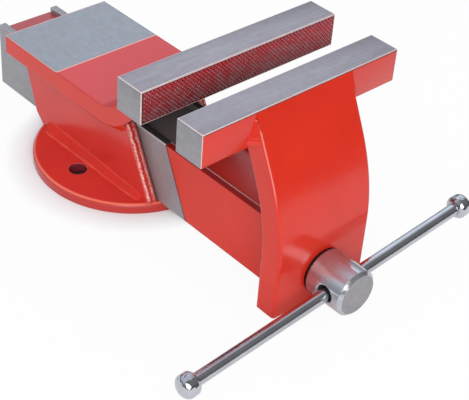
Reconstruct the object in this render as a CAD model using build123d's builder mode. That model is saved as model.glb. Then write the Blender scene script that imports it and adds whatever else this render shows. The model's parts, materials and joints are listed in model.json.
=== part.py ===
from build123d import *
import os
from math import acos, asin, atan2, cos, degrees, hypot, radians, sin, tan

# A bench vise welded from steel plate and bar, with a screw-driven sliding jaw.
# Frame: origin on the bench plane, midway between the two foot bolts. +Z is up, +Y points
# to the rear, away from the handle, and +X runs along the jaws. Sizes are in millimetres.

# Jaws: two solid square bars
jaw_width = 150.0
jaw_depth = 22.0
jaw_height = 21.5
jaw_top = 129.5
jaw_opening = 28.0
fixed_face_y = -102.0
jaw_bar_edge = 0.8

# Round foot flange, bolted to the bench
foot_thick = 7.0
foot_dia = 131.0
foot_rim_edge = 1.5
bolt_spacing = 88.0
bolt_hole_dia = 12.0

# Slide beam: two rails with a web set down between them, open underneath
beam_width = 48.0
beam_height = 46.0
beam_rail_thick = 5.0
beam_rail_edge = 1.0
beam_web_thick = 5.0
beam_web_drop = 4.0
beam_rear_y = 119.0
slide_gap = 0.4
side_gap = 0.25

# Side plates of the body, slanted at both ends
side_thick = 7.5
side_front_foot_y = -58.5
side_front_slant = 26.5
side_rear_top_y = 77.6
side_rear_slant = 19.0
side_rear_toe = 7.0

# Saddle: thick plate that is the anvil at the rear and bends up to carry the fixed jaw
saddle_width = 82.0
saddle_thick = 13.0
saddle_rear_y = 85.0
saddle_bend_y = -17.0
saddle_bend_radius = 27.0
saddle_toe = 5.3
saddle_edge = 1.0

# Arm: curved plate that carries the moving jaw and closes the front of the beam
arm_width = 74.0
arm_thick = 14.0
arm_reach = 28.0
arm_bend_radius = 134.0
arm_bend_drop = 91.5
arm_top_drop = 2.5
arm_lift = 0.5
arm_edge = 2.0

# Spindle: its head is in front of the arm, a pinned collar holds it behind the arm
spindle_z = 20.0
spindle_dia = 20.0
spindle_end_y = 114.0
spindle_tip_edge = 2.0
head_dia = 30.0
head_length = 27.3
head_edge = 2.0
head_hole_dia = 10.8
head_hole_inset = 12.8
head_hole_sink = 1.0
bush_wall = 3.0
washer_thick = 2.0
washer_dia = 29.0
collar_dia = 24.0
collar_length = 12.0
collar_edge = 1.0
collar_pin_dia = 4.0
thread_gap = 0.1
thrust_gap = 0.2
fit_gap = 0.05

# Nut block inside the beam, screwed to the foot from below
nut_width = 34.0
nut_length = 45.0
nut_front_y = -50.0
nut_crown = 6.0
nut_edge = 2.0
nut_screw_spacing = 25.0
nut_screw_dia = 6.0
nut_screw_length = 13.5
nut_screw_head_dia = 11.5
countersink = 90.0

# Tommy bar handle, loose in the head's hole: at rest it lies tilted and slid to one side
handle_dia = 8.0
handle_length = 224.0
handle_tilt = 4.74
handle_slip = -6.4
knob_dia = 14.6
knob_length = 11.0
knob_tip_dia = 6.4
knob_edge = 2.4
knob_nose = 4.2
knob_grip = 6.5

# Places that follow from the sizes above
jaw_bottom = jaw_top - jaw_height
fixed_back_y = fixed_face_y + jaw_depth
moving_face_y = fixed_face_y - jaw_opening
moving_front_y = moving_face_y - jaw_depth
beam_bottom = foot_thick + slide_gap
beam_top = beam_bottom + beam_height
saddle_under = beam_top + slide_gap
saddle_top = saddle_under + saddle_thick
side_inner_x = beam_width / 2 + side_gap
arm_front_y = moving_front_y - arm_reach
arm_back_y = arm_front_y + arm_thick
arm_bend_z = jaw_top - arm_bend_drop
spindle_bore = spindle_dia / 2 + thread_gap
bush_radius = spindle_bore + bush_wall
washer_front_y = arm_front_y - thrust_gap - washer_thick
head_end_y = washer_front_y - head_length
collar_front_y = arm_back_y + thrust_gap
collar_middle_y = collar_front_y + collar_length / 2
nut_middle_y = nut_front_y + nut_length / 2
nut_top = spindle_z + spindle_bore + nut_crown

tilt = radians(handle_tilt)
handle_axis = Vector(cos(tilt), 0, sin(tilt))
head_hole = Vector(0, head_end_y + head_hole_inset, spindle_z)
handle_middle = head_hole + handle_axis * handle_slip

finished = []


def keep(piece, label):
    """Label a finished piece and put it on the list that is written out."""
    piece.label = label
    finished.append(piece)


def touch_angle(centre, radius, point):
    """Angle at which a line from point touches a circle, on the turn-left side."""
    along = point[0] - centre[0]
    up = point[1] - centre[1]
    return degrees(atan2(up, along) + acos(radius / hypot(along, up)))


def across(y):
    """Plane square to the spindle at a given Y, its own Z along +Y."""
    return Plane(origin=(0, y, spindle_z), x_dir=(1, 0, 0), z_dir=(0, 1, 0))


def ring(outer, inner):
    """Flat ring in the open sketch."""
    Circle(outer)
    Circle(inner, mode=Mode.SUBTRACT)


def screw_outline(dia, head_dia, length):
    """Corners of half a countersunk screw, the head's flat at the origin."""
    head_depth = (head_dia - dia) / 2 / tan(radians(countersink / 2))
    return (0, 0), (head_dia / 2, 0), (dia / 2, head_depth), (dia / 2, length), (0, length)


# Foot flange with its two bolt holes and the countersinks for the nut's screws
with BuildPart() as foot:
    with BuildSketch():
        Circle(foot_dia / 2)
    extrude(amount=foot_thick)
    chamfer(foot.faces().sort_by(Axis.Z)[-1].edges(), foot_rim_edge)
    with GridLocations(bolt_spacing, 0, 2, 1):
        Hole(bolt_hole_dia / 2)
    with Locations(Plane(origin=(0, nut_middle_y, 0), z_dir=(0, 0, -1))):
        with GridLocations(nut_screw_spacing, 0, 2, 1):
            CounterSinkHole(
                nut_screw_dia / 2 + fit_gap,
                nut_screw_head_dia / 2 + fit_gap,
                counter_sink_angle=countersink,
            )
keep(foot.part, "foot_plate")

# Saddle, drawn from the side: flat, then a bend that runs into the slope up to the fixed bar
bend = (saddle_bend_y, saddle_top + saddle_bend_radius)
under_radius = saddle_bend_radius + saddle_thick
rise = 270 - touch_angle(bend, under_radius, (fixed_back_y, jaw_bottom - saddle_toe))
slope = tan(radians(rise))
toe_y = fixed_back_y - saddle_toe / slope
with BuildPart() as saddle:
    with BuildSketch(Plane.YZ):
        with BuildLine():
            under = Line((saddle_rear_y, saddle_under), (saddle_bend_y, saddle_under))
            under_bend = CenterArc(bend, under_radius, 270, -rise)
            top = Line((saddle_rear_y, saddle_top), (saddle_bend_y, saddle_top))
            top_bend = CenterArc(bend, saddle_bend_radius, 270, -rise)
            shoulder = top_bend @ 1
            bar_z = shoulder.Y + (shoulder.X - fixed_back_y) * slope
            Polyline(
                under_bend @ 1,
                (toe_y, jaw_bottom),
                (fixed_back_y, jaw_bottom),
                (fixed_back_y, bar_z),
                shoulder,
            )
            Line(under @ 0, top @ 0)
        make_face()
    extrude(amount=saddle_width / 2, both=True)
    chamfer(saddle.faces().sort_by(Axis.Y)[-1].edges(), saddle_edge)
keep(saddle.part, "saddle_plate")

# Side plates: slanted ends, top edge cut to the underside of the saddle
side_front_run = tan(radians(side_front_slant))
side_rear_run = tan(radians(side_rear_slant))
side_toe_z = foot_thick + side_rear_toe
side_toe_y = side_rear_top_y - side_rear_run * (saddle_under - side_toe_z)
for side, direction in (("left", -1), ("right", 1)):
    with BuildPart() as side_plate:
        with BuildSketch(Plane.YZ.offset(direction * side_inner_x)):
            with BuildLine():
                Polyline(
                    (side_front_foot_y, foot_thick),
                    (side_front_foot_y + side_front_run * (saddle_top - foot_thick), saddle_top),
                    (side_rear_top_y, saddle_top),
                    (side_rear_top_y, saddle_under),
                    (side_toe_y, side_toe_z),
                    (side_toe_y - side_rear_toe, foot_thick),
                    close=True,
                )
            make_face()
        extrude(amount=direction * side_thick)
        with BuildSketch(Plane.YZ):
            with BuildLine():
                over = Line((saddle_rear_y, saddle_under), (saddle_bend_y, saddle_under))
                over_bend = CenterArc(bend, under_radius, 270, -rise)
                Polyline(over_bend @ 1, (toe_y, jaw_top), (saddle_rear_y, jaw_top), over @ 0)
            make_face()
        extrude(amount=saddle_width / 2, both=True, mode=Mode.SUBTRACT)
    keep(side_plate.part, f"{side}_side_plate")

# Jaw bars, their long edges broken
for jaw, front_y in (("fixed", fixed_face_y), ("moving", moving_front_y)):
    with BuildPart() as bar:
        with BuildSketch(Plane.XY.offset(jaw_bottom)):
            with Locations((0, front_y + jaw_depth / 2)):
                Rectangle(jaw_width, jaw_depth)
        extrude(amount=jaw_height)
        chamfer(bar.edges().filter_by(Axis.X), jaw_bar_edge)
    keep(bar.part, f"{jaw}_jaw_bar")

# Nut block on the foot, bored for the spindle
with BuildPart() as nut:
    with BuildSketch(Plane.XY.offset(foot_thick)):
        with Locations((0, nut_middle_y)):
            Rectangle(nut_width, nut_length)
    extrude(amount=nut_top - foot_thick)
    chamfer(nut.faces().sort_by(Axis.Z)[-1].edges(), nut_edge)
    with Locations(across(nut_front_y + nut_length)):
        Hole(spindle_bore)
    with Locations(Plane(origin=(0, nut_middle_y, foot_thick), z_dir=(0, 0, -1))):
        with GridLocations(nut_screw_spacing, 0, 2, 1):
            Hole(nut_screw_dia / 2 + fit_gap, depth=nut_screw_length - foot_thick + fit_gap)
keep(nut.part, "spindle_nut")

# Countersunk screws that come up through the foot into the nut
with BuildPart() as nut_screws:
    for direction in (-1, 1):
        head = (direction * nut_screw_spacing / 2, nut_middle_y, 0)
        with BuildSketch(Plane(origin=head, x_dir=(1, 0, 0), z_dir=(0, -1, 0))):
            with BuildLine():
                Polyline(*screw_outline(nut_screw_dia, nut_screw_head_dia, nut_screw_length), close=True)
            make_face()
        revolve(axis=Axis(head, (0, 0, 1)))
keep(nut_screws.part, "nut_screws")

# Arm, drawn from the side: leans forward from the moving bar, then bends to stand upright
arm_bend = (arm_front_y + arm_bend_radius, arm_bend_z)
arm_crest = (moving_front_y, jaw_top - arm_top_drop)
arm_back_radius = arm_bend_radius - arm_thick
lean = 180 - touch_angle(arm_bend, arm_bend_radius, arm_crest)
with BuildPart() as arm:
    with BuildSketch(Plane.YZ):
        with BuildLine():
            front_bend = CenterArc(arm_bend, arm_bend_radius, 180, -lean)
            back_bend = CenterArc(arm_bend, arm_back_radius, 180, -lean)
            back_lean = back_bend @ 1
            bar_y = back_lean.X + (jaw_bottom - back_lean.Y) * tan(radians(lean))
            Polyline(front_bend @ 0, (arm_front_y, arm_lift), (arm_back_y, arm_lift), back_bend @ 0)
            Polyline(back_lean, (bar_y, jaw_bottom), (moving_front_y, jaw_bottom), arm_crest, front_bend @ 1)
        make_face()
    extrude(amount=arm_width / 2, both=True)
    fillet(arm.faces().sort_by(Axis.Y)[0].edges().filter_by(Axis.Z), arm_edge)
    with Locations(across(arm_back_y)):
        Hole(bush_radius)
keep(arm.part, "moving_jaw_arm")

# Bush pressed into the arm
with BuildPart() as bush:
    with BuildSketch(across(arm_front_y)):
        ring(bush_radius, spindle_bore)
    extrude(amount=arm_thick)
keep(bush.part, "spindle_bush")

# Rails of the slide beam, their front ends cut to the back of the arm
rail_bend = degrees(asin((beam_top - arm_bend_z) / arm_back_radius))
for side, direction in (("left", -1), ("right", 1)):
    with BuildPart() as rail:
        with BuildSketch(Plane.YZ.offset(direction * beam_width / 2)):
            with BuildLine():
                on_arm = CenterArc(arm_bend, arm_back_radius, 180, -rail_bend)
                Polyline(
                    on_arm @ 1,
                    (beam_rear_y, beam_top),
                    (beam_rear_y, beam_bottom),
                    (arm_back_y, beam_bottom),
                    on_arm @ 0,
                )
            make_face()
        extrude(amount=-direction * beam_rail_thick)
        chamfer(rail.faces().sort_by(Axis.Y)[-1].edges(), beam_rail_edge)
    keep(rail.part, f"{side}_beam_rail")

# Web between the rails; its square front end stops where its top meets the arm
web_top = beam_top - beam_web_drop
web_bend = asin(max(web_top - arm_bend_z, 0) / arm_back_radius)
web_front_y = arm_bend[0] - arm_back_radius * cos(web_bend)
with BuildPart() as web:
    with BuildSketch(Plane.XY.offset(web_top)):
        with Locations((0, (web_front_y + beam_rear_y) / 2)):
            Rectangle(beam_width - 2 * beam_rail_thick, beam_rear_y - web_front_y)
    extrude(amount=-beam_web_thick)
keep(web.part, "beam_web")

# Spindle turned in one piece with its head; the handle's hole has sunk mouths
with BuildPart() as spindle:
    with BuildSketch(Plane(origin=(0, 0, spindle_z), x_dir=(0, 1, 0), z_dir=(1, 0, 0))):
        with BuildLine():
            Polyline(
                (head_end_y, 0),
                (head_end_y, head_dia / 2 - head_edge),
                (head_end_y + head_edge, head_dia / 2),
                (washer_front_y, head_dia / 2),
                (washer_front_y, spindle_dia / 2),
                (spindle_end_y - spindle_tip_edge, spindle_dia / 2),
                (spindle_end_y, spindle_dia / 2 - spindle_tip_edge),
                (spindle_end_y, 0),
                close=True,
            )
        make_face()
    revolve(axis=Axis((0, 0, spindle_z), (0, 1, 0)))
    with BuildSketch(Plane(origin=head_hole, x_dir=(0, 1, 0), z_dir=(1, 0, 0))):
        Circle(head_hole_dia / 2)
    extrude(amount=head_dia, both=True, mode=Mode.SUBTRACT)
    for end in (-1, 1):
        mouth = head_hole + Vector(end * (head_dia / 2 - head_hole_sink), 0, 0)
        with Locations(Plane(origin=mouth, x_dir=(0, 1, 0), z_dir=(end, 0, 0))):
            Cone(
                head_hole_dia / 2,
                head_hole_dia / 2 + 2 * head_hole_sink,
                2 * head_hole_sink,
                align=(Align.CENTER, Align.CENTER, Align.MIN),
                mode=Mode.SUBTRACT,
            )
    with BuildSketch(Plane.XY.offset(spindle_z)):
        with Locations((0, collar_middle_y)):
            Circle(collar_pin_dia / 2 + fit_gap)
    extrude(amount=collar_dia / 2, both=True, mode=Mode.SUBTRACT)
keep(spindle.part, "spindle_screw")

# Washer between the head and the arm
with BuildPart() as washer:
    with BuildSketch(across(washer_front_y)):
        ring(washer_dia / 2, spindle_bore)
    extrude(amount=washer_thick)
keep(washer.part, "thrust_washer")

# Collar behind the arm, and the pin that holds it on the spindle
with BuildPart() as collar:
    with BuildSketch(across(collar_front_y)):
        ring(collar_dia / 2, spindle_dia / 2 + fit_gap)
    extrude(amount=collar_length)
    chamfer(collar.edges().filter_by(GeomType.CIRCLE).sort_by(SortBy.RADIUS)[-2:], collar_edge)
    with BuildSketch(Plane.XY.offset(spindle_z)):
        with Locations((0, collar_middle_y)):
            Circle(collar_pin_dia / 2 + fit_gap)
    extrude(amount=collar_dia, both=True, mode=Mode.SUBTRACT)
keep(collar.part, "retaining_collar")

with BuildPart() as pin:
    with BuildSketch(Plane.XY.offset(spindle_z)):
        with Locations((0, collar_middle_y)):
            Circle(collar_pin_dia / 2)
    extrude(amount=collar_dia / 2, both=True)
keep(pin.part, "collar_pin")

# Handle bar and its two knobs
with BuildPart() as handle:
    with BuildSketch(Plane(origin=handle_middle, x_dir=(0, 1, 0), z_dir=handle_axis)):
        Circle(handle_dia / 2)
    extrude(amount=handle_length / 2, both=True)
keep(handle.part, "handle_bar")

knob_bore = handle_dia / 2 + fit_gap
for side, direction in (("left", -1), ("right", 1)):
    outward = handle_axis * direction
    knob_start = handle_middle + outward * (handle_length / 2 - knob_grip)
    with BuildPart() as knob:
        with BuildSketch(Plane(origin=knob_start, x_dir=outward, z_dir=(0, 1, 0))):
            with BuildLine():
                Polyline(
                    (0, knob_bore),
                    (0, knob_dia / 2 - knob_edge),
                    (knob_edge, knob_dia / 2),
                    (knob_length - knob_nose, knob_dia / 2),
                    (knob_length, knob_tip_dia / 2),
                    (knob_length, 0),
                    (knob_grip + fit_gap, 0),
                    (knob_grip + fit_gap, knob_bore),
                    close=True,
                )
            make_face()
        revolve(axis=Axis(knob_start, outward))
    keep(knob.part, f"handle_knob_{side}")

os.makedirs("parts", exist_ok=True)
for piece in finished:
    export_step(piece, f"parts/{piece.label}.step")
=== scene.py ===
import json
from math import acos, atan2, cos, pi, radians, sin, sqrt

import bmesh
import bpy
from mathutils import Matrix, Vector, noise


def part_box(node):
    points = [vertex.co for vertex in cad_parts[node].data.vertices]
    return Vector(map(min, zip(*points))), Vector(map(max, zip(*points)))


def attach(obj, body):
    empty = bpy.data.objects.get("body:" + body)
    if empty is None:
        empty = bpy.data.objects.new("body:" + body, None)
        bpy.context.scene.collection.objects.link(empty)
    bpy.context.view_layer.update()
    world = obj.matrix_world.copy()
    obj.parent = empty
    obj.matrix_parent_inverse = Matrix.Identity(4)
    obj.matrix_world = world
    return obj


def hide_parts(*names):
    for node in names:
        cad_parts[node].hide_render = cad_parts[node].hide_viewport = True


# Looks of a red welded bench vise, in metres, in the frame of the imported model:
# +Z up, +Y to the rear, +X along the jaws, origin on the bench between the foot bolts.

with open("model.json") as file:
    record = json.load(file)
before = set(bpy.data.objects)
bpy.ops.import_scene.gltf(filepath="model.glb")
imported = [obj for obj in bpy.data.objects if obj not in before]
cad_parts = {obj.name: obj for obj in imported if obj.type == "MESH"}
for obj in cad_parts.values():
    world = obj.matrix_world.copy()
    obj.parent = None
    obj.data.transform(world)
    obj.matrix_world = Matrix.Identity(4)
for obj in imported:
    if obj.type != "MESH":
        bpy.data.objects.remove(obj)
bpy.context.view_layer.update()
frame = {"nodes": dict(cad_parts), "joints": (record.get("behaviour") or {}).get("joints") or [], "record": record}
nodes = frame["nodes"]


def named(rows, name):
    """The row of a list that has that name."""
    return next(row for row in rows if row["name"] == name)


# Boxes of the frame's pieces
side_low, side_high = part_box("right_side_plate")
saddle_low, saddle_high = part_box("saddle_plate")
rail_low, rail_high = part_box("right_beam_rail")
arm_low, arm_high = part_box("moving_jaw_arm")
foot_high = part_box("foot_plate")[1]
fixed_low, fixed_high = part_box("fixed_jaw_bar")
moving_low, moving_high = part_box("moving_jaw_bar")
spindle_low, spindle_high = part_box("spindle_screw")
handle_low, handle_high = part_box("handle_bar")
collar_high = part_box("retaining_collar")[1]

# Mounts and joints of the record
millimetre = 0.001
mounts = frame["record"]["mounts"]
foot_bolts = named(mounts, "foot_bolts")["dims"]
bolt_x = foot_bolts["spacing_x_mm"] / 2 * millimetre
bolt_radius = foot_bolts["hole_r_mm"] * millimetre
anvil_z = named(mounts, "anvil_face")["pos_m"][2]
handle_way = Vector(named(frame["joints"], "handle_slide")["axis"])
spindle_z = (spindle_low.z + spindle_high.z) / 2

# Bends and slants of the plates
side_slant = radians(26.5)
saddle_bend = Vector((0, -0.017, 0.0938))
saddle_rise = radians(47)
saddle_shoulder_z = 0.1218
saddle_toe_y = -0.0849
arm_bend = Vector((0, -0.046, 0.038))
arm_back_radius = 0.120
arm_ledge_y = -0.1462

# Paint lines: where the red stops, how sharply, and how wide the thin paint along them is, which on the anvil
# carries a painted highlight
paint_border = 0.0003
paint_step = 0.0002
anvil_front_y = 0.0268
anvil_line_lip = 0.0014
anvil_rear_lip = 0.0019
anvil_rim_lip = 0.0009
rail_line_y = -0.0638
rail_line_z = 0.0531
rail_line_run = 0.468
rail_line_lip = 0.0012
lip_fade_end = 0.0004
web_front_paint_y = -0.066
web_rear_paint_y = 0.060
web_paint_ragged = 0.002

# Dirt and wear, and where shade and highlights are painted
# share of painted shade on the web's front paint, and of dust on its rear
web_shade_and_dust = (0.30, 0.75)
throat_end_y = 0.0
throat_fade = 0.010
shade_strip = 0.0008
foot_rim_fade = (0.0006, 0.0002)
foot_rim_dirt = 0.45
foot_edge_inset = 0.0011
foot_edge_half = 0.0007
# painted highlight on the arm's rounded front edges, fading out below these heights
arm_highlight_z = (0.076, 0.086)
arm_highlight_share = 0.55
rail_edge_half = 0.0010
rail_edge_fade = (0.0010, 0.0006)
edge_highlight_share = 0.7

# How far a surface faces along an axis where a mask begins and where it is full
down_facing = (-0.3, -0.4)
bend_facing = (0.70, 0.95)
up_facing = (0.90, 0.95)
level_facing = (0.95, 0.99)
arm_edge_begins = (0.40, 0.60)
arm_edge_ends = (0.85, 0.70)
spindle_end_facing = (-0.85, -0.95)

# Edges that are shaded round
edge_round = 0.0016
web_edge_round = 0.0010
bright_edge_round = 0.0006
spindle_edge_round = 0.0008
edge_cosines = (0.97, 0.82)
edge_samples = 6

# Jaw bars and their teeth
bar_edge = 0.0008
bar_edge_segments = 3
bar_square = 0.99
bar_end_facing = 0.9
bar_rim_facing = 0.4
bar_side_facing = 0.1
tooth_pitch = 0.0027
tooth_depth = 0.0009
tooth_margin = 0.0008
tooth_cells = 4
tooth_uneven = 0.20
tooth_uneven_cycles = 0.31
# depth shares over which the teeth's painted root shade sets in
tooth_roots = (0.45 * tooth_depth, 0.85 * tooth_depth)
tooth_shade_shift = 0.008

# Spindle thread: its form is shares of the lead with the radius there; its tip is turned a hair off Y
thread_lead = 0.004
thread_depth = 0.0022
collar_wall = 0.002
thread_crest = collar_high.x - collar_wall
thread_root = thread_crest - thread_depth
thread_form = ((0.0, thread_root), (0.12, thread_crest), (0.46, thread_crest), (0.58, thread_root))
thread_start_y = -0.150
thread_tip = 0.006
thread_steps = 40
tip_inset = 0.0002
tip_chamfer = 0.002
nearly_y = (0, 1, 0.0001)

# Handle knobs
knob_edge = 0.0024
knob_chamfer_gain = 0.0009
knob_nose_share = 0.42
knob_nose_steps = 10

# Weld beads: legs and rises from one end to the other, and what stays free at their ends
foot_bead_y = 0.0505
foot_bead_leg = (0.0054, 0.0036)
foot_bead_rise = (0.0078, 0.0044)
saddle_bead_leg = 0.0075
saddle_bead_gap = 0.002
front_bead_leg = 0.0031
front_bead_x = (side_low.x + side_high.x + shade_strip) / 2
front_bead_gap = 0.0015
front_bead_lift = 0.02
rail_bead_leg = 0.0045
rail_bead_gap = 0.001
arm_bead_leg = (0.0070, 0.0010)
arm_bead_rise = (0.0070, 0.0008)
arm_bead_gaps = (0.0005, 0.002)
crest_bead_fall = 0.0090
crest_bead_gap = 0.0002
cross_bead_gap = 0.001
under_bead_leg = 0.0045
ledge_bead_fall = 0.0050
rear_bead_leg = 0.0035
rear_bead_fall = 0.0040

# Form of every bead
plain_crown = 0.10
plain_ripples = 0.35
ripple_pitch = 0.0026
ripple_lean = 1.6
weld_steps_a_ripple = 5
weld_section_points = 8
weld_sink = 0.1
weld_taper_legs = 1.2
weld_end_share = 0.45
weld_uneven = 0.10
weld_uneven_cycles = 160

# Painted highlights on beads: on those of the foot in shares of the leg, on the coarse ones as middle and half
# width
upper_toe = (-0.60, -0.92)
upper_toe_highlight = 0.40
lower_toe = (0.55, 0.92)
lower_toe_highlight = 0.60
coarse_toe_highlight = (0.0023, 0.0007)
coarse_crown_highlight = (-0.0013, 0.0013)
coarse_streak = (0.0008, 0.0011)
coarse_ragged = 0.0004

# Gloss, and grain in cycles a metre
paint_index = 1.52
tooth_index = 1.5
plain_gloss = 0.5
noise_span = (0.3, 0.7)
tone_cycles = 28
wear_cycles = 160
peel_cycles = 90
peel_depth = 0.00006
streak_share = 0.35
bare_roughness = 0.2
along_x = (60, 900, 900)
along_y = (900, 60, 900)
along_rail = (900, 50, 900)

# Studio
floor_reach = 12.0
floor_white = 0.93
# paper painted dark under the foot, as shade seen through the bolt holes
floor_shade_under_foot = 0.05
floor_past_paper = 0.2
foot_painted_shade = (foot_high.x - 0.012, foot_high.x - 0.004)
foot_shadow = (foot_high.x - 0.004, foot_high.x + 0.02)
paper_reach = 0.50
paper_fade = 0.12
paper_glow = 0.94
paper_glow_reach = 4 * paper_reach
mirror_glow = 0.33
# painted shadow in the paper's reflections in front of the arm
arm_shadow_reach = (0.080, 0.080)
arm_shadow_fade = (0.8, 1.1)
room_dimness = 0.28
room_edge = 0.12
sky_heights = (0.05, 0.55)
sky_strengths = (0.25, 0.75)
front_tint = (0.97, 0.98, 1.0, 1)
rear_tint = (0.88, 0.94, 1.08, 1)
lamp_target = Vector((0, -0.04, 0.06))

# The photograph's viewpoint
camera_place = (-0.43631, -0.54324, 0.49377)
camera_right = Vector((0.74221, -0.66706, 0.06449))
camera_forward = Vector((0.56106, 0.56585, -0.60417))
camera_lens = 96.21
camera_sensor = 36.0

# Colours, linear
white = (1, 1, 1, 1)
red = (0.76, 0.035, 0.015, 1)
red_deep = (0.70, 0.029, 0.013, 1)
red_dust = (0.74, 0.043, 0.030, 1)
red_dust_deep = (0.68, 0.038, 0.028, 1)
# painted sheen of the sky on flat painted tops
red_sky_sheen = (0.73, 0.047, 0.046, 1)
# pale edge red: worn thin paint and a painted highlight
red_edge_wear_and_highlight = (0.90, 0.44, 0.38, 1)
red_shade = (0.060, 0.012, 0.012, 1)
# dark red: dull paint on the foot's rim, painted shade on rails and web
red_dirt_and_shade = (0.34, 0.020, 0.020, 1)
red_dusty = (0.44, 0.080, 0.088, 1)
red_hole_shade = (0.24, 0.026, 0.036, 1)
# warm pale red of painted highlights on the foot's edge and on its beads' toes
red_warm_highlight = (0.92, 0.17, 0.10, 1)
red_tooth = (0.94, 0.040, 0.058, 1)
# reds of painted shade on the teeth: lower tips, and roots
red_tip_shade = (0.25, 0.030, 0.044, 1)
red_root_shade = (0.15, 0.014, 0.019, 1)
# pale pink: thin paint, and painted highlights on edges and beads
red_thin_and_highlight = (0.92, 0.60, 0.55, 1)
steel = (0.43, 0.44, 0.455, 1)
steel_dull = (0.37, 0.38, 0.395, 1)
bar_steel = (0.435, 0.398, 0.414, 1)
bar_steel_dull = (0.375, 0.345, 0.358, 1)
sawn = (0.40, 0.39, 0.40, 1)
sawn_dull = (0.34, 0.33, 0.34, 1)
# near-white of painted highlights on steel edges
steel_edge_highlight = (0.80, 0.79, 0.80, 1)
# black of painted shade: gaps, undersides, the throat and dark lines
shade_black = (0.055, 0.050, 0.050, 1)
# dark grey of painted shade on the web inside the body
grey_shade = (0.20, 0.185, 0.19, 1)
chrome = (0.62, 0.63, 0.66, 1)
chrome_dull = (0.52, 0.53, 0.56, 1)
iron = (0.16, 0.16, 0.165, 1)
iron_dull = (0.09, 0.09, 0.095, 1)
bronze = (0.60, 0.40, 0.18, 1)
bronze_dull = (0.46, 0.30, 0.13, 1)
rear_lamp_blue = (0.80, 0.88, 1.0)

new_paint = (red, red_deep)
dusty_paint = (red_dust, red_dust_deep)


class Nodes:
    """A node tree, with short ways to add to it."""

    def __init__(self, tree):
        self.tree = tree

    def make(self, kind, inputs=None, output=0, **settings):
        """Add a node, set or link its inputs, and give back one of its outputs."""
        node = self.tree.nodes.new("ShaderNode" + kind)
        for name, value in settings.items():
            setattr(node, name, value)
        for name, value in (inputs or {}).items():
            self.feed(node.inputs[name], value)
        return node.outputs[output] if node.outputs else None

    def feed(self, socket, value):
        """Link a socket to another, or set it."""
        if isinstance(value, bpy.types.NodeSocket):
            self.tree.links.new(value, socket)
        else:
            socket.default_value = value

    def math(self, operation, first, second=0.0):
        return self.make("Math", {0: first, 1: second}, operation=operation)

    def plus(self, first, second):
        return self.math("ADD", first, second)

    def minus(self, first, second):
        return self.math("SUBTRACT", first, second)

    def times(self, first, second):
        return self.math("MULTIPLY", first, second)

    def larger(self, first, second):
        return self.math("MAXIMUM", first, second)

    def size(self, value):
        """A value without its sign."""
        return self.math("ABSOLUTE", value)

    def opposite(self, mask):
        """1 where a mask is 0, and 0 where it is 1."""
        return self.minus(1.0, mask)

    def spread(self, value, start, end, low=0.0, high=1.0):
        """Map start..end of a value to low..high, and no further."""
        limits = {"From Min": start, "From Max": end, "To Min": low, "To Max": high}
        return self.make("MapRange", {"Value": value, **limits})

    def mix(self, factor, first, second):
        """Blend two colours."""
        return self.make("Mix", {0: factor, 6: first, 7: second}, output=2, data_type="RGBA")

    def mix_values(self, factor, first, second):
        """Blend two numbers."""
        return self.make("Mix", {0: factor, 2: first, 3: second})

    def part(self, vector, axis):
        """The X, Y or Z of a vector."""
        return self.make("SeparateXYZ", {"Vector": vector}, axis)

    def length(self, vector):
        return self.make("VectorMath", {0: vector}, "Value", operation="LENGTH")

    def ray(self, kind):
        """1 for camera rays, glossy rays and so on."""
        return self.make("LightPath", output=f"Is {kind} Ray")


class Finish(Nodes):
    """A procedural finish: one shader and the nodes that feed it."""

    def __init__(self, name, fixed):
        self.material = bpy.data.materials.new(name)
        self.material.use_nodes = True
        super().__init__(self.material.node_tree)
        self.shader = self.tree.nodes["Principled BSDF"]
        self.place = self.make("TexCoord", output="Object")
        self.normal = None
        for socket, value in fixed.items():
            self.shader.inputs[socket].default_value = value

    def set(self, socket, value):
        self.feed(self.shader.inputs[socket], value)

    def grain(self, cycles, low=0.0, high=1.0, detail=3.0):
        """Noise with that many cycles a metre, all round or along X, Y and Z."""
        scale = cycles if isinstance(cycles, tuple) else (cycles, cycles, cycles)
        scaled = self.make("Mapping", {"Vector": self.place, "Scale": scale})
        value = self.make("TexNoise", {"Vector": scaled, "Scale": 1.0, "Detail": detail})
        return self.spread(value, *noise_span, low, high)

    def along(self, axis):
        """The place along X, Y or Z, in metres."""
        return self.part(self.place, axis)

    def off_middle(self):
        """Distance to the left or right of the middle plane, in metres."""
        return self.size(self.along("X"))

    def facing(self, axis):
        """How far the surface faces along X, Y or Z, from -1 to 1."""
        return self.part(self.make("NewGeometry", output="Normal"), axis)

    def band(self, value, middle, half):
        """1 where a value is near a middle, and 0 from half away on."""
        return self.spread(self.size(self.minus(value, middle)), half, half / 2)

    def round_edges(self, radius):
        """Shade edges as if rounded, and give back a mask of them."""
        self.normal = self.make("Bevel", {"Radius": radius}, samples=edge_samples)
        flat = self.make("NewGeometry", output="True Normal")
        alike = self.make("VectorMath", {0: self.normal, 1: flat}, "Value", operation="DOT_PRODUCT")
        return self.spread(alike, *edge_cosines)

    def relief(self, height, depth):
        """Bump of that depth, in metres, on top of what is there already."""
        inputs = {"Height": height, "Distance": depth, "Strength": 1.0}
        if self.normal:
            inputs["Normal"] = self.normal
        self.normal = self.make("Bump", inputs)

    def done(self):
        if self.normal:
            self.set("Normal", self.normal)
        return self


def enamel_colour(finish, edge, wear_and_highlight=0.9, tones=new_paint):
    """Brushed-on enamel: slightly uneven tone, thinner on edges and paler there with a painted highlight."""
    tone = finish.mix(finish.grain(tone_cycles), *tones)
    # edges: worn thin paint, lightened further as a painted highlight
    worn_and_lit = finish.times(edge, finish.grain(wear_cycles, wear_and_highlight / 3, wear_and_highlight))
    return finish.mix(worn_and_lit, tone, red_edge_wear_and_highlight)


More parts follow.
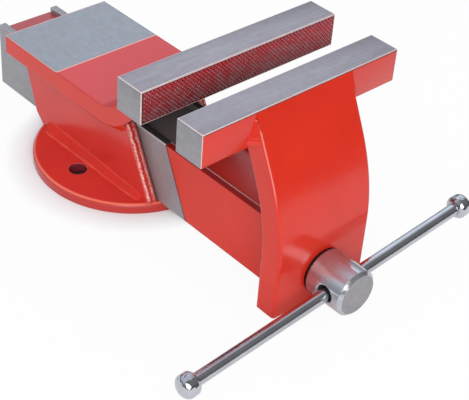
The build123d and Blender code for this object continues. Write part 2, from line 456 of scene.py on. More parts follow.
def steel_colour(finish, cycles, light, dark):
    """Bare steel: grinding streaks over a faint cloud."""
    streaks = finish.grain(cycles, 0.0, streak_share, detail=4.0)
    cloud = finish.grain(260, 0.0, 1 - streak_share)
    return finish.mix(finish.plus(streaks, cloud), light, dark)


def enamel(name, *patches, tones=new_paint, gloss=plain_gloss):
    """Glossy red paint with a soft orange-peel skin.

    Each patch is a function that gives 1 where the paint is missing, dirty, or carries a painted shade or
    highlight, and the colour there."""
    finish = Finish(name, {"IOR": paint_index, "Specular IOR Level": gloss})
    edge = finish.round_edges(edge_round)
    colour = enamel_colour(finish, edge, tones=tones)
    for where, under in patches:
        colour = finish.mix(where(finish), colour, under)
    finish.set("Base Color", colour)
    finish.set("Roughness", finish.grain(60, 0.16, 0.24))
    finish.relief(finish.grain(peel_cycles), peel_depth)
    finish.relief(finish.grain(700), 0.000015)
    return finish.done()


def half_painted(name, bare, *patches, tones, cycles, wear_and_highlight, shine, gloss):
    """Red paint that stops at a line; bare(finish) is 1 where the steel shows.

    Patches are as for enamel. tones and cycles are those of the steel, wear_and_highlight is how far the paint
    is rubbed on edges and lit there by a painted highlight, shine how metallic the steel looks, and gloss how
    strongly the paint mirrors."""
    finish = Finish(name, {"IOR": paint_index, "Specular IOR Level": gloss})
    edge = finish.round_edges(edge_round)
    mask = bare(finish)
    painted = enamel_colour(finish, edge, wear_and_highlight)
    for where, under in patches:
        painted = finish.mix(where(finish), painted, under)
    ground = steel_colour(finish, cycles, *tones)
    # painted highlight on the bare steel's edges
    ground = finish.mix(finish.times(edge, edge_highlight_share), ground, steel_edge_highlight)
    finish.set("Base Color", finish.mix(mask, painted, ground))
    finish.set("Metallic", finish.times(mask, shine))
    roughness = finish.grain(cycles, 0.17, 0.24)
    finish.set("Roughness", finish.plus(roughness, finish.times(mask, bare_roughness)))
    finish.relief(finish.grain(peel_cycles), peel_depth)
    finish.relief(mask, -paint_step)
    return finish.done()


def painted_weld(name, gloss, highlight=None, tones=new_paint):
    """Paint over a weld bead; highlight(finish) is 1 where a highlight is painted."""
    finish = Finish(name, {"IOR": paint_index, "Specular IOR Level": gloss})
    colour = finish.mix(finish.grain(tone_cycles), *tones)
    if highlight:
        # painted highlight
        colour = finish.mix(highlight(finish), colour, red_warm_highlight)
    finish.set("Base Color", colour)
    finish.set("Roughness", finish.grain(200, 0.12, 0.24))
    finish.relief(finish.grain(600), 0.00004)
    return finish.done()


def rippled_weld(name):
    """A coarse bead: painted highlights along its outer toe and in patches on its crown, a darker stripe between
    them.
    """
    finish = Finish(name, {"IOR": paint_index})
    across = finish.minus(finish.off_middle(), front_bead_x)
    across = finish.plus(across, finish.grain(350, -coarse_ragged, coarse_ragged))
    toe = finish.times(finish.band(across, *coarse_toe_highlight), finish.grain(250, 0.3, 0.9))
    crown = finish.times(finish.band(across, *coarse_crown_highlight), finish.grain((600, 260, 260), 0.1, 1.0))
    streak = finish.times(finish.band(across, *coarse_streak), finish.grain((700, 160, 160), 0.0, 0.9))
    tone = finish.mix(streak, finish.mix(finish.grain(300), *new_paint), red_dirt_and_shade)
    # painted highlights on the toe and crown
    finish.set("Base Color", finish.mix(finish.larger(toe, crown), tone, red_thin_and_highlight))
    finish.set("Roughness", finish.grain(200, 0.14, 0.26))
    finish.relief(finish.grain(600), 0.00005)
    return finish.done()


def ground_steel(name, cycles, light=steel, dark=steel_dull):
    """Bare steel with grinding streaks."""
    finish = Finish(name, {"Metallic": 1.0})
    finish.set("Base Color", steel_colour(finish, cycles, light, dark))
    finish.set("Roughness", finish.grain(cycles, 0.32, 0.44))
    finish.relief(finish.grain(cycles), 0.000012)
    return finish.done()


def shaded_web(name):
    """Web: painted at both ends, painted dark as shade where it runs in the body, its front paint darkened as
    shade and its rear dusty.
    """
    finish = Finish(name, {"IOR": paint_index})
    edge = finish.round_edges(web_edge_round)
    ragged = finish.plus(finish.along("Y"), finish.grain((120, 60, 60), -web_paint_ragged, web_paint_ragged))
    front = finish.spread(ragged, web_front_paint_y, web_front_paint_y + web_paint_ragged)
    rear = finish.spread(ragged, web_rear_paint_y + web_paint_ragged, web_rear_paint_y)
    dark = finish.times(front, rear)
    # painted shade at the front, dust at the rear
    shade_and_dust = finish.spread(finish.along("Y"), web_front_paint_y, 0, *web_shade_and_dust)
    shade_and_dust_colour = finish.mix(finish.spread(finish.along("Y"), 0, web_rear_paint_y), red_dirt_and_shade, red_dusty)
    painted = finish.mix(shade_and_dust, enamel_colour(finish, edge), shade_and_dust_colour)
    finish.set("Base Color", finish.mix(dark, painted, grey_shade))
    roughness = finish.grain((80, 40, 80), 0.24, 0.36)
    finish.set("Roughness", finish.plus(roughness, finish.times(dark, bare_roughness)))
    finish.relief(finish.grain(peel_cycles), peel_depth / 3)
    return finish.done()


def serrated(name, face_y, inward):
    """Jaw teeth: red tips rubbed to steel in patches, and roots painted dark as shade.

    Painted shade also darkens them towards the bottom, and less so towards the right end."""
    finish = Finish(name, {"IOR": tooth_index})
    # painted shade by height, lifted a little towards the right end
    rightward = finish.spread(finish.along("X"), 0, fixed_high.x, 0, tooth_shade_shift)
    lit_height = finish.spread(finish.plus(finish.along("Z"), rightward), fixed_low.z, fixed_high.z)
    depth = finish.times(finish.minus(finish.along("Y"), face_y), inward)
    rubbed = finish.grain((220, 220, 260), 0.0, 0.45)
    tips = finish.mix(rubbed, finish.mix(lit_height, red_tip_shade, red_tooth), steel_dull)
    # roots: painted shade in the grooves
    roots = finish.mix(lit_height, red_shade, red_root_shade)
    finish.set("Base Color", finish.mix(finish.spread(depth, *tooth_roots), tips, roots))
    finish.set("Roughness", finish.grain(400, 0.25, 0.45))
    return finish.done()


def bright(name, cycles, polish, lumps):
    """Plated steel, with the fine lines of turning, a few dull patches and an uneven surface."""
    finish = Finish(name, {"Metallic": 1.0})
    finish.round_edges(bright_edge_round)
    finish.set("Base Color", finish.mix(finish.grain(70), chrome, chrome_dull))
    finish.set("Roughness", finish.grain(cycles, polish, polish + 0.08))
    finish.relief(finish.grain(240, detail=1.0), lumps)
    finish.relief(finish.grain(cycles), 0.000006)
    return finish.done()


def spindle_bright(name):
    """The spindle's plating, with turned rings on its end."""
    finish = Finish(name, {"Metallic": 0.86})
    finish.round_edges(spindle_edge_round)
    centred = finish.make("Mapping", {"Vector": finish.place, "Location": (0, 0, -spindle_z)})
    rings = finish.make(
        "TexWave",
        {"Vector": centred, "Scale": 260.0, "Distortion": 1.5, "Detail": 2.0},
        wave_type="RINGS",
        rings_direction="Y",
    )
    drawn = (700, 25, 700)
    end = finish.spread(finish.facing("Y"), *spindle_end_facing)
    plated = finish.mix(finish.grain(drawn), chrome, chrome_dull)
    faced = finish.mix(finish.grain((250, 250, 700)), sawn, sawn_dull)
    finish.set("Base Color", finish.mix(end, plated, faced))
    roughness = finish.grain(drawn, 0.10, 0.30)
    finish.set("Roughness", finish.plus(roughness, finish.times(end, bare_roughness / 2)))
    finish.relief(rings, 0.00002)
    finish.relief(finish.grain((30, 1800, 30)), 0.000004)
    return finish.done()


def cast(name, light, dark, roughness, metallic=1.0):
    """Grainy metal, as cast or as turned from bar; also dark painted shade and pale painted highlights."""
    finish = Finish(name, {"Metallic": metallic})
    finish.set("Base Color", finish.mix(finish.grain(300), light, dark))
    finish.set("Roughness", finish.grain(150, roughness, roughness + 0.2))
    finish.relief(finish.grain(900), 0.00003)
    return finish.done()


def bolt_holes(finish):
    """1 on the walls of the two foot bolt holes, which are painted dark as shade."""
    inside = finish.minus(finish.off_middle(), bolt_x)
    from_bolt = finish.length(finish.make("CombineXYZ", {"X": inside, "Y": finish.along("Y")}))
    return finish.spread(from_bolt, bolt_radius + paint_border, bolt_radius + paint_border / 3)


def from_axis(finish):
    """Distance from the foot's axis, in metres."""
    return finish.length(finish.make("CombineXYZ", {"X": finish.along("X"), "Y": finish.along("Y")}))


def foot_rim(finish):
    """Part of 1 on the rim of the round foot, where the paint is dull."""
    start, end = (foot_high.x - inset for inset in foot_rim_fade)
    return finish.spread(from_axis(finish), start, end, 0, foot_rim_dirt)


def foot_edge_highlight(finish):
    """1 along the top edge of the round foot, where a highlight is painted."""
    return finish.band(from_axis(finish), foot_high.x - foot_edge_inset, foot_edge_half)


def inner_faces_shade(finish):
    """1 on the side plates where they face the beam, painted black there as the shade of the gap."""
    greasy_x = side_low.x + shade_strip
    return finish.spread(finish.off_middle(), greasy_x, greasy_x - paint_border)


def arm_edge_highlight(finish):
    """Part of 1 on the rounded front edges of the arm's upper half, where a highlight is painted."""
    across = finish.size(finish.facing("X"))
    rounded = finish.times(finish.spread(across, *arm_edge_begins), finish.spread(across, *arm_edge_ends))
    return finish.times(rounded, finish.spread(finish.along("Z"), *arm_highlight_z, 0, arm_highlight_share))


def toe_highlights(finish):
    """Part of 1 along both toes of the beads on the foot, where a highlight is painted."""
    out = finish.minus(finish.off_middle(), side_high.x)
    up = finish.minus(finish.along("Z"), foot_high.z)
    leg = finish.spread(finish.along("Y"), foot_bead_y, -foot_bead_y, *foot_bead_leg)
    rise = finish.spread(finish.along("Y"), foot_bead_y, -foot_bead_y, *foot_bead_rise)
    across = finish.minus(finish.math("DIVIDE", out, leg), finish.math("DIVIDE", up, rise))
    across = finish.plus(across, finish.grain(70, -0.10, 0.10))
    lower = finish.spread(across, *lower_toe, 0, lower_toe_highlight)
    upper = finish.spread(across, *upper_toe, 0, upper_toe_highlight)
    return finish.times(finish.plus(lower, upper), finish.grain(140, 0.45, 1.0))


def underside_shade(finish):
    """1 where a plate faces down, painted dark there as shade."""
    return finish.spread(finish.facing("Z"), *down_facing)


def sky_sheen_up(finish):
    """1 where a plate lies flat, falling off around a bend: a painted sheen of the sky, pinker and bluer."""
    return finish.spread(finish.facing("Z"), *bend_facing)


def flat_top(finish):
    """1 where a plate faces straight up."""
    return finish.spread(finish.facing("Z"), *up_facing)


def behind_anvil_line(finish):
    """How far to the rear of the anvil's paint line, in metres."""
    return finish.minus(finish.along("Y"), anvil_front_y)


def anvil_bare(finish):
    """1 on the flat top behind the paint line, as far as the thin paint with a painted highlight on its rear edge.
    """
    rear_edge = saddle_high.y - anvil_rear_lip
    within = finish.spread(finish.along("Y"), rear_edge + paint_border, rear_edge)
    ground = finish.times(finish.spread(behind_anvil_line(finish), 0, paint_border), flat_top(finish))
    return finish.times(ground, within)


def anvil_lip_highlight(finish):
    """1 along the paint line and around the rim of the ground top, where the paint is thin and a highlight is
    painted.
    """
    behind = behind_anvil_line(finish)
    near_top = finish.spread(finish.along("Z"), anvil_z - anvil_rim_lip, anvil_z)
    rim = finish.times(finish.spread(behind, 0, paint_border), near_top)
    line = finish.times(finish.spread(behind, -anvil_line_lip, -lip_fade_end), flat_top(finish))
    return finish.larger(rim, line)


def behind_rail_line(finish):
    """How far to the rear of the rails' paint line, which leans back up the rail, in metres."""
    height = finish.minus(finish.along("Z"), rail_line_z)
    line = finish.plus(finish.times(height, rail_line_run), rail_line_y)
    return finish.minus(finish.along("Y"), line)


def past_rail_line(finish):
    """1 behind the rails' paint line."""
    return finish.spread(behind_rail_line(finish), 0, paint_border)


def rail_lip(finish):
    """1 from just before the paint line on, which is dark."""
    return finish.spread(behind_rail_line(finish), -rail_line_lip, -lip_fade_end)


def rail_tops_shade(finish):
    """1 on the tops of the rails, darkened there as painted shade under the jaws."""
    return finish.spread(finish.facing("Z"), *level_facing)


def throat_rails(finish):
    """1 behind the paint line, as far as the saddle."""
    open_part = finish.spread(finish.along("Y"), throat_end_y, throat_end_y - throat_fade)
    return finish.times(past_rail_line(finish), open_part)


def throat_tops_shade(finish):
    """1 on the tops of the rails in the throat, painted black as shade."""
    return finish.times(throat_rails(finish), flat_top(finish))


def top_edge(finish, apart):
    """1 along the top edges of the rails that lie that far from the middle."""
    start, end = (rail_high.z - drop for drop in rail_edge_fade)
    near = finish.band(finish.off_middle(), apart, rail_edge_half)
    return finish.times(near, finish.spread(finish.along("Z"), start, end))


def inner_edge_highlights(finish):
    """1 along the painted rails' inner top edges, where a highlight is painted."""
    return finish.times(top_edge(finish, rail_low.x), finish.opposite(past_rail_line(finish)))


def outer_edge_highlights(finish):
    """1 along the bare rails' outer top edges in the throat, where a highlight is painted."""
    return finish.times(top_edge(finish, rail_high.x), throat_rails(finish))


def rail_bare(finish):
    """1 behind the paint line, but for the painted shade on the throat's tops and the painted highlight on its
    outer edges.
    """
    covered = finish.larger(throat_tops_shade(finish), outer_edge_highlights(finish))
    return finish.times(past_rail_line(finish), finish.opposite(covered))


def new_piece(name, body, vertices, faces, finish, sharp=35):
    """A mesh piece that rides on a body, smooth but for edges sharper than that angle."""
    mesh = bpy.data.meshes.new(name)
    mesh.from_pydata(vertices, [], faces)
    solid = bmesh.new()
    solid.from_mesh(mesh)
    bmesh.ops.remove_doubles(solid, verts=solid.verts, dist=1e-6)
    bmesh.ops.recalc_face_normals(solid, faces=solid.faces)
    return add_piece(name, body, solid, mesh, [finish], sharp)


def add_piece(name, body, solid, mesh, finishes, sharp):
    """Put a bmesh into the scene as a piece that rides on a body."""
    solid.to_mesh(mesh)
    solid.free()
    for finish in finishes:
        mesh.materials.append(finish.material)
    mesh.polygons.foreach_set("use_smooth", [True] * len(mesh.polygons))
    mesh.set_sharp_from_angle(angle=radians(sharp))
    piece = bpy.data.objects.new(name, mesh)
    bpy.context.scene.collection.objects.link(piece)
    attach(piece, body)
    return piece


def dress(node, finish):
    """Give a node of the frame its finish."""
    mesh = nodes[node].data
    mesh.materials.clear()
    mesh.materials.append(finish.material)


def straight(start, end):
    """Points along a straight weld, a few to each ripple."""
    start, end = Vector(start), Vector(end)
    count = max(2, round((end - start).length / ripple_pitch * weld_steps_a_ripple))
    return [start.lerp(end, i / count) for i in range(count + 1)]


def bead_taper(run, length, leg):
    """How full a bead is at a run along its length: rounded down to both ends."""
    from_end = min(run, length - run) / (weld_taper_legs * leg)
    return weld_end_share + (1 - weld_end_share) * sqrt(1 - (1 - min(from_end, 1.0)) ** 2)


def weld(name, body, corners, first, second, finish, crown=plain_crown, ripples=plain_ripples, tapered=True):
    """A rippled bead along a line of corners.

    first and second give, for a share of the length and a corner, the vectors from the
    corner to the bead's two toes. crown is how far it bulges, as a share of the leg, and
    ripples is the share of that bulge that comes and goes."""
    vertices, faces = [], []
    ring = weld_section_points + 2
    length = sum((b - a).length for a, b in zip(corners, corners[1:]))
    run = 0.0
    for i, corner in enumerate(corners):
        if i:
            run += (corner - corners[i - 1]).length
        share = run / length
        toe_a, toe_b = first(share, corner), second(share, corner)
        leg = (toe_a.length + toe_b.length) / 2
        out = (toe_a.normalized() + toe_b.normalized()).normalized()
        fullness = 1.0
        if tapered:
            uneven = 1 + weld_uneven * noise.noise(Vector((run * weld_uneven_cycles, len(name), 0)))
            fullness = bead_taper(run, length, leg) * uneven
        vertices.append(corner - out * leg * weld_sink)
        for k in range(weld_section_points + 1):
            w = k / weld_section_points
            arch = sin(pi * w)
            ripple = sin(2 * pi * run / ripple_pitch + ripple_lean * arch)
            bulge = leg * crown * fullness * arch * (1 + ripples * ripple)
            flat = toe_a * (1 - w) + toe_b * w
            vertices.append(corner + flat * fullness + out * bulge)
        if i:
            here, before = i * ring, (i - 1) * ring
            for k in range(ring):
                n = (k + 1) % ring
                faces.append((before + k, before + n, here + n, here + k))
    last = len(vertices) - ring
    faces.append(tuple(range(ring)))
    faces.append(tuple(range(last, last + ring)))
    return new_piece(name, body, vertices, faces, finish, sharp=60)


def fixed_way(way, leg):
    """A toe that always lies the same way, at the same distance."""
    toe = Vector(way).normalized() * leg
    return lambda share, corner: toe


def fading_way(way, legs):
    """A toe that always lies the same way, while its distance goes from one leg to the other."""
    way = Vector(way).normalized()
    return lambda share, corner: way * (legs[0] + (legs[1] - legs[0]) * share)


def on_foot(way, legs):
    """A toe like that, kept within the rim of the round foot."""
    free = fading_way(way, legs)

    def toe(share, corner):
        room = sqrt(foot_high.x**2 - corner.y**2) - side_high.x - edge_round / 2
        return free(share, corner).normalized() * min(free(share, corner).length, room)

    return toe


def down_side(leg):
    """A toe that lies on the side plate, square to the saddle's underside."""

    def toe(share, corner):
        way = Vector((0, min(corner.y - saddle_bend.y, 0), corner.z - saddle_bend.z))
        return way.normalized() * leg

    return toe


def under_saddle(direction):
    """Corners along the top of a side plate: flat from the rear, then up the saddle's bend."""
    x = direction * side_high.x
    radius = saddle_bend.z - saddle_low.z
    sweep = acos((saddle_bend.z - side_high.z) / radius)
    points = straight((x, side_high.y - saddle_bead_gap, saddle_low.z), (x, saddle_bend.y, saddle_low.z))
    steps = round(radius * sweep / ripple_pitch * weld_steps_a_ripple)
    for i in range(1, steps + 1):
        turn = sweep * i / steps
        points.append(Vector((x, saddle_bend.y - radius * sin(turn), saddle_bend.z - radius * cos(turn))))
    return points


def up_arm_back(direction):
    """Corners where a rail meets the arm's back, which is straight and then bent."""
    x = direction * rail_high.x
    points = []
    for p in straight((x, 0, rail_low.z + rail_bead_gap), (x, 0, rail_high.z)):
        rise = max(p.z - arm_bend.z, 0)
        points.append(Vector((x, arm_bend.y - sqrt(arm_back_radius**2 - rise**2), p.z)))
    return points


def across_plate(half, y, z):
    """Corners along X, from one side of a plate to the other."""
    return straight((-half, y, z), (half, y, z))


def lathe(profile, origin, axis, steps=48):
    """Vertices and faces of a profile of (along, radius) turned about an axis, which can't be Y itself."""
    axis = Vector(axis).normalized()
    side = axis.cross(Vector((0, 1, 0))).normalized()
    up = axis.cross(side)
    vertices, faces = [], []
    for along, radius in profile:
        for i in range(steps):
            turn = 2 * pi * i / steps
            vertices.append(Vector(origin) + axis * along + (side * cos(turn) + up * sin(turn)) * radius)
    for row in range(len(profile) - 1):
        for i in range(steps):
            n = (i + 1) % steps
            a, b = row * steps, (row + 1) * steps
            faces.append((a + i, a + n, b + n, b + i))
    return vertices, faces


def bar_face(normal, inward):
    """Which of a jaw bar's finishes a face takes, from the way it faces."""
    broken = max(map(abs, normal)) < bar_square
    if abs(normal.x) > bar_end_facing:
        return "end"
    if max(normal.z, abs(normal.x)) > bar_rim_facing:
        return "edge" if broken else "top"
    if normal.y * inward < -bar_side_facing:
        return "edge" if broken else "teeth"
    # just below the top front edge: a dark line of painted shade
    return "lip" if normal.z > bar_side_facing else "paint"


def wedge(turns):
    """0 in a groove, 1 half-way to the next."""
    return 1 - abs(2 * (turns % 1) - 1)


def tooth_height(column, row):
    """How far a point of the tooth grid stands out, as a share of the depth: grooves cross at a slant."""
    uneven = 1 - tooth_uneven + tooth_uneven * noise.noise(Vector((column, row, 0)) * tooth_uneven_cycles)
    return uneven * min(wedge((column + row) / tooth_cells), wedge((column - row) / tooth_cells))


def jaw_bar(node, body, inward, finishes):
    """A jaw bar with cross-cut teeth; inward is the Y direction from its face into the bar."""
    low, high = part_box(node)
    index = {name: i for i, name in enumerate(finishes)}
    face_y = low.y if inward > 0 else high.y
    root_y = face_y + inward * tooth_depth
    back_y = high.y if inward > 0 else low.y
    size = Vector((high.x - low.x, abs(back_y - root_y), high.z - low.z))
    middle = Vector(((low.x + high.x) / 2, (back_y + root_y) / 2, (low.z + high.z) / 2))
    block = Matrix.Translation(middle) @ Matrix.Diagonal((*size, 1))
    solid = bmesh.new()
    bmesh.ops.create_cube(solid, size=1.0, matrix=block)
    edge = {"offset": bar_edge, "segments": bar_edge_segments, "profile": 0.5}
    bmesh.ops.bevel(solid, geom=solid.edges[:], affect="EDGES", **edge)
    for face in solid.faces:
        face.material_index = index[bar_face(face.normal, inward)]
    step = tooth_pitch / tooth_cells
    columns = int((size.x - 2 * tooth_margin) / step)
    rows = int((size.z - 2 * tooth_margin) / step)
    start = Vector((middle.x - columns * step / 2, root_y, middle.z - rows * step / 2))
    grid = []
    for row in range(rows + 1):
        for column in range(columns + 1):
            rim = row in (0, rows) or column in (0, columns)
            out = 0 if rim else tooth_height(column, row) * tooth_depth
            grid.append(solid.verts.new(start + Vector((column * step, -inward * out, row * step))))
    for row in range(rows):
        for column in range(columns):
            a = row * (columns + 1) + column
            b = a + columns + 1
            corners = [grid[a], grid[a + 1], grid[b + 1], grid[b]]
            face = solid.faces.new(corners if inward > 0 else corners[::-1])
            face.material_index = index["teeth"]
    mesh = bpy.data.meshes.new(node + "_cut")
    piece = add_piece(node + "_cut", body, solid, mesh, finishes.values(), sharp=50)
    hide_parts(node)


def spindle_head(finish):
    """The frame's spindle as far as its thread."""
    solid = bmesh.new()
    solid.from_mesh(nodes["spindle_screw"].data)
    everything = solid.verts[:] + solid.edges[:] + solid.faces[:]
    cut = {"plane_co": (0, thread_start_y, 0), "plane_no": (0, 1, 0), "clear_outer": True}
    bmesh.ops.bisect_plane(solid, geom=everything, **cut)
    mesh = bpy.data.meshes.new("spindle_head")
    head = add_piece("spindle_head", "spindle", solid, mesh, [finish], sharp=25)
    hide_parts("spindle_screw")


def spindle_thread(finish):
    """The cut thread: one strip wound along the spindle, its roots joined turn by turn, and a plain tip."""
    tail_y = spindle_high.y - thread_tip
    count = int((tail_y - thread_start_y) / thread_lead) * thread_steps
    row = len(thread_form)
    vertices, faces = [], []
    for i in range(count + 1):
        turn = 2 * pi * i / thread_steps
        for share, radius in thread_form:
            y = thread_start_y + thread_lead * (i / thread_steps - 1 + share)
            vertices.append((radius * sin(turn), y, spindle_z + radius * cos(turn)))
    for i in range(count):
        for k in range(row - 1):
            a, b = i * row + k, (i + 1) * row + k
            faces.append((a, b, b + 1, a + 1))
        if i + 1 + thread_steps <= count:
            a, b = (i + 1) * row - 1, (i + thread_steps) * row
            faces.append((a, a + row, b + row, b))
    tip_radius = thread_root - tip_inset
    tip = [(tail_y - thread_lead * 2, tip_radius), (spindle_high.y - tip_chamfer, tip_radius)]
    tip += [(spindle_high.y, thread_root - tip_chamfer), (spindle_high.y, 0)]
    tip_vertices, tip_faces = lathe(tip, (0, 0, spindle_z), nearly_y)
    faces += [tuple(v + len(vertices) for v in face) for face in tip_faces]
    thread = new_piece("spindle_thread", "spindle", vertices + tip_vertices, faces, finish)
    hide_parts("spindle_screw")


def knob(node, outward, finish):
    """A turned knob with a domed end."""
    low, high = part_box(node)
    axis = outward.normalized()
    middle = (low + high) / 2
    radius = (high.y - low.y) / 2
    length = ((high.x - low.x) - 2 * radius * abs(axis.z)) / abs(axis.x) + knob_chamfer_gain
    bore = (handle_high.y - handle_low.y) / 2
    nose = length * knob_nose_share
    profile = [(0, bore), (0, radius - knob_edge), (knob_edge / 4, radius - knob_edge / 2)]
    profile += [(knob_edge, radius), (length - nose, radius)]
    for i in range(1, knob_nose_steps + 1):
        turn = pi / 2 * i / knob_nose_steps
        profile.append((length - nose + nose * sin(turn), radius * cos(turn)))
    vertices, faces = lathe(profile, middle - axis * length / 2, axis)
    piece = new_piece(node + "_turned", "handle", vertices, faces, finish, sharp=30)
    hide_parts(node)


# Plates and beam
foot_patches = ((foot_rim, red_dirt_and_shade), (foot_edge_highlight, red_warm_highlight), (bolt_holes, red_hole_shade))
dress("foot_plate", enamel("red_foot", *foot_patches, tones=dusty_paint))
sides = enamel("red_sides", (inner_faces_shade, shade_black), tones=dusty_paint)
dress("left_side_plate", sides)
dress("right_side_plate", sides)
dress("moving_jaw_arm", enamel("red_arm", (arm_edge_highlight, red_edge_wear_and_highlight), gloss=0.42))
anvil = half_painted(
    "red_and_anvil",
    anvil_bare,
    (sky_sheen_up, red_sky_sheen),
    (anvil_lip_highlight, red_thin_and_highlight),
    (underside_shade, shade_black),
    tones=(steel, steel_dull),
    cycles=along_y,
    wear_and_highlight=0.2,
    shine=1.0,
    gloss=0.42,
)
dress("saddle_plate", anvil)
rails = half_painted(
    "red_and_rail",
    rail_bare,
    (rail_lip, red_shade),
    (underside_shade, shade_black),
    (rail_tops_shade, red_dirt_and_shade),
    (throat_tops_shade, shade_black),
    (inner_edge_highlights, red_thin_and_highlight),
    (outer_edge_highlights, steel_edge_highlight),
    tones=(sawn, sawn_dull),
    cycles=along_rail,
    wear_and_highlight=0.15,
    shine=0.55,
    gloss=0.36,
)
dress("left_beam_rail", rails)
dress("right_beam_rail", rails)
dress("beam_web", shaded_web("red_and_painted_shade"))

# Small pieces
# dark painted shade for the weld under the fixed bar and the thrust washer's ring
shade_dark = cast("painted_shade_weld", shade_black, red_shade, 0.5)
turned = ground_steel("turned_steel", (300, 1500, 300))
dress("handle_bar", bright("bright_handle", (1200, 60, 60), polish=0.16, lumps=0.00003))
dress("spindle_nut", cast("cast_iron", iron, iron_dull, 0.45))
dress("spindle_bush", cast("bronze", bronze, bronze_dull, 0.25))
dress("thrust_washer", shade_dark)
for node in ("retaining_collar", "collar_pin", "nut_screws"):
    dress(node, turned)

# Cut and turned pieces
bar_finishes = {
    "top": ground_steel("ground_steel", along_x, bar_steel, bar_steel_dull),
    "paint": enamel("red_enamel"),
    "teeth": serrated("fixed_teeth", fixed_low.y, 1),
    # pale chamfers of the bars: painted highlight
    "edge": cast("broken_edge_highlight", steel_edge_highlight, red_thin_and_highlight, 0.35, metallic=0.4),
    "end": ground_steel("sawn_steel", along_y, sawn, sawn_dull),
    # dark line of painted shade under the bars' top front edge
    "lip": cast("painted_shade_line", red_shade, shade_black, 0.4, metallic=0.0),
}
jaw_bar("fixed_jaw_bar", "base", 1, bar_finishes)
moving_teeth = serrated("moving_teeth", moving_high.y, -1)
jaw_bar("moving_jaw_bar", "slide", -1, {**bar_finishes, "teeth": moving_teeth})
plating = spindle_bright("bright_spindle")
spindle_head(plating)
spindle_thread(plating)
knob_finish = bright("bright_knob", 500, polish=0.06, lumps=0.00035)
knob("handle_knob_left", -handle_way, knob_finish)
knob("handle_knob_right", handle_way, knob_finish)

# Welds, left and right
bead = painted_weld("painted_weld", plain_gloss)
foot_bead = painted_weld("painted_weld_foot", 0.05, toe_highlights, dusty_paint)
coarse_bead = rippled_weld("rippled_weld")
side_way = Vector((0, sin(side_slant), cos(side_slant)))
side_out = Vector((0, -cos(side_slant), sin(side_slant))) * front_bead_lift
side_rise = (side_high.z - side_low.z) / cos(side_slant) - 2 * front_bead_gap

for side, direction in (("left", -1), ("right", 1)):
    outward = Vector((direction, 0, 0))
    x = direction * side_high.x
    weld(
        f"weld_foot_{side}",
        "base",
        straight((x, foot_bead_y, foot_high.z), (x, -foot_bead_y, foot_high.z)),
        on_foot(outward, foot_bead_leg),
        fading_way((0, 0, 1), foot_bead_rise),
        foot_bead,
        crown=-0.06,
        ripples=0.4,
    )
    weld(
        f"weld_saddle_{side}",
        "base",
        under_saddle(direction),
        fixed_way(outward, saddle_bead_leg),
        down_side(saddle_bead_leg),
        bead,
        crown=0.02,
        ripples=0.8,
    )
    start = Vector((direction * front_bead_x, side_low.y, side_low.z)) + side_way * front_bead_gap
    weld(
        f"weld_front_{side}",
        "base",
        straight(start, start + side_way * side_rise),
        fixed_way(Vector((1, 0, 0)) + side_out, front_bead_leg),
        fixed_way(Vector((-1, 0, 0)) + side_out, front_bead_leg),
        coarse_bead,
        crown=0.40,
        ripples=0.20,
    )
    weld(
        f"weld_rail_{side}",
        "slide",
        up_arm_back(direction),
        fixed_way(outward, rail_bead_leg),
        fixed_way((0, 1, 0), rail_bead_leg),
        bead,
    )
    x = direction * arm_high.x
    foot_gap, top_gap = arm_bead_gaps
    weld(
        f"weld_arm_{side}",
        "slide",
        straight((x, moving_low.y, moving_low.z + foot_gap), (x, moving_low.y, arm_high.z - top_gap)),
        fading_way(outward, arm_bead_leg),
        fading_way((0, -1, 0), arm_bead_rise),
        bead,
        crown=0.01,
        ripples=0.8,
    )

# Welds across the plates
to_crest = Vector((0, moving_low.y, arm_high.z)) - arm_bend
arm_lean = atan2(to_crest.z, -to_crest.y) - acos((arm_bend.y - arm_low.y) / to_crest.length)
down_arm = (0, -sin(arm_lean), -cos(arm_lean))
down_saddle = (0, cos(saddle_rise), -sin(saddle_rise))
weld(
    "weld_crest",
    "slide",
    across_plate(arm_high.x - crest_bead_gap, moving_low.y, arm_high.z),
    fixed_way((0, 0, 1), moving_high.z - arm_high.z - bar_edge),
    fixed_way(down_arm, crest_bead_fall),
    bead,
    crown=0.0,
    ripples=0.0,
    tapered=False,
)
weld(
    "weld_arm_under",
    "slide",
    across_plate(arm_high.x - cross_bead_gap, arm_ledge_y, moving_low.z),
    fixed_way((0, 1, 0), under_bead_leg),
    fixed_way(down_arm, ledge_bead_fall),
    bead,
)
weld(
    "weld_bar_rear",
    "base",
    across_plate(saddle_high.x - cross_bead_gap, fixed_high.y, saddle_shoulder_z),
    fixed_way((0, 0, 1), rear_bead_leg),
    fixed_way(down_saddle, rear_bead_fall),
    bead,
)
weld(
    "weld_bar_under",
    "base",
    across_plate(saddle_high.x - cross_bead_gap, saddle_toe_y, fixed_low.z),
    fixed_way((0, -1, 0), under_bead_leg),
    fixed_way(down_saddle, under_bead_leg),
    shade_dark,
)


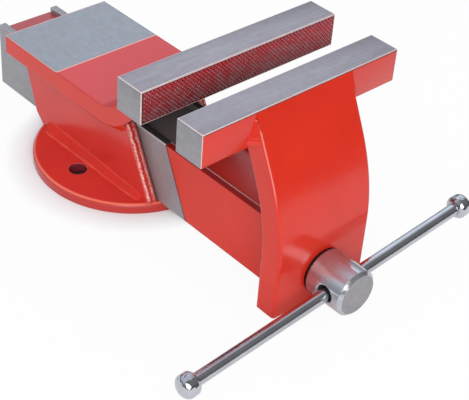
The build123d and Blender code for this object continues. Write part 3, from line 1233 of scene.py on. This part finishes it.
def white_floor():
    """A white paper sweep that shows as white, with the object's shadow kept and the paper under the foot painted
    dark as shade.

    Reflections see the paper as far as its edge, but for a painted shadow in front of the arm, and a dim
    floor past it."""
    floor_mesh = bpy.data.meshes.new("floor")
    corners = [(-floor_reach, -floor_reach, 0), (floor_reach, -floor_reach, 0)]
    corners += [(floor_reach, floor_reach, 0), (-floor_reach, floor_reach, 0)]
    floor_mesh.from_pydata(corners, [], [(0, 1, 2, 3)])
    floor = bpy.data.objects.new("floor", floor_mesh)
    bpy.context.scene.collection.objects.link(floor)
    material = bpy.data.materials.new("floor")
    material.use_nodes = True
    material.node_tree.nodes.clear()
    stage = Nodes(material.node_tree)
    place = stage.make("TexCoord", output="Object")
    away = stage.length(place)
    off_paper = stage.spread(away, paper_reach, paper_reach + paper_fade)
    reach_x, reach_y = arm_shadow_reach
    centred = {"Location": (0, -arm_low.y / reach_y, 0), "Scale": (1 / reach_x, 1 / reach_y, 1)}
    from_arm = stage.length(stage.make("Mapping", {"Vector": place, **centred}))
    mirrored = stage.larger(stage.ray("Glossy"), stage.ray("Transmission"))
    mirrored = stage.times(mirrored, stage.times(stage.opposite(off_paper), mirror_glow))
    # painted shadow in reflections in front of the arm
    mirrored = stage.times(mirrored, stage.spread(from_arm, *arm_shadow_fade))
    seen = stage.larger(stage.ray("Camera"), mirrored)
    glow = stage.spread(away, paper_reach, paper_glow_reach, paper_glow, 1)
    share = stage.times(seen, stage.times(stage.spread(away, *foot_shadow), glow))
    unseen = stage.minus(off_paper, stage.ray("Camera"))
    # paper painted dark under the foot as shade
    shade = stage.spread(away, *foot_painted_shade, floor_shade_under_foot, floor_white)
    shade = stage.times(shade, stage.spread(unseen, 0, 1, 1, floor_past_paper))
    diffuse = stage.make("BsdfDiffuse", {"Color": shade})
    surface = stage.make("MixShader", {0: share, 1: diffuse, 2: stage.make("Emission")})
    stage.make("OutputMaterial", {"Surface": surface})
    floor_mesh.materials.append(material)


def studio_sky():
    """Even light from above that falls off towards the horizon; mirrors see a dim room in front."""
    world = bpy.data.worlds.new("studio")
    bpy.context.scene.world = world
    world.use_nodes = True
    stage = Nodes(world.node_tree)
    way = stage.make("TexCoord", output="Generated")
    back = stage.spread(stage.part(way, "Y"), -room_edge, room_edge)
    overhead = stage.spread(stage.part(way, "Z"), *sky_heights, *sky_strengths)
    room = stage.times(overhead, stage.spread(back, 0, 1, room_dimness, 1))
    strength = stage.mix_values(stage.ray("Glossy"), overhead, room)
    tint = stage.mix(back, front_tint, rear_tint)
    background = world.node_tree.nodes["Background"]
    stage.feed(background.inputs["Strength"], stage.larger(strength, stage.ray("Camera")))
    stage.feed(background.inputs["Color"], stage.mix(stage.ray("Camera"), tint, white))


def soft_light(name, way, distance, size, power, colour=white[:3]):
    """A square softbox that looks at the object from a direction."""
    lamp = bpy.data.lights.new(name, "AREA")
    lamp.size = size
    lamp.energy = power
    lamp.color = colour
    light = bpy.data.objects.new(name, lamp)
    way = Vector(way).normalized()
    light.location = lamp_target + way * distance
    light.rotation_euler = way.to_track_quat("Z", "Y").to_euler()
    bpy.context.scene.collection.objects.link(light)


def photo_camera():
    """A camera at the photograph's viewpoint."""
    camera_data = bpy.data.cameras.new("camera")
    camera_data.sensor_width = camera_sensor
    camera_data.lens = camera_lens
    camera = bpy.data.objects.new("camera", camera_data)
    camera_up = camera_right.cross(camera_forward)
    turn = Matrix((camera_right, camera_up, -camera_forward)).transposed()
    camera.matrix_world = Matrix.Translation(camera_place) @ turn.to_4x4()
    bpy.context.scene.collection.objects.link(camera)
    bpy.context.scene.camera = camera


white_floor()
studio_sky()
soft_light("key", way=(-0.52, -0.68, 0.50), distance=1.6, size=1.1, power=13.5)
soft_light("rear_box", way=(0.56, 0.57, 0.60), distance=1.6, size=1.1, power=1.8, colour=rear_lamp_blue)
photo_camera()
bpy.context.scene.view_settings.view_transform = "Standard"
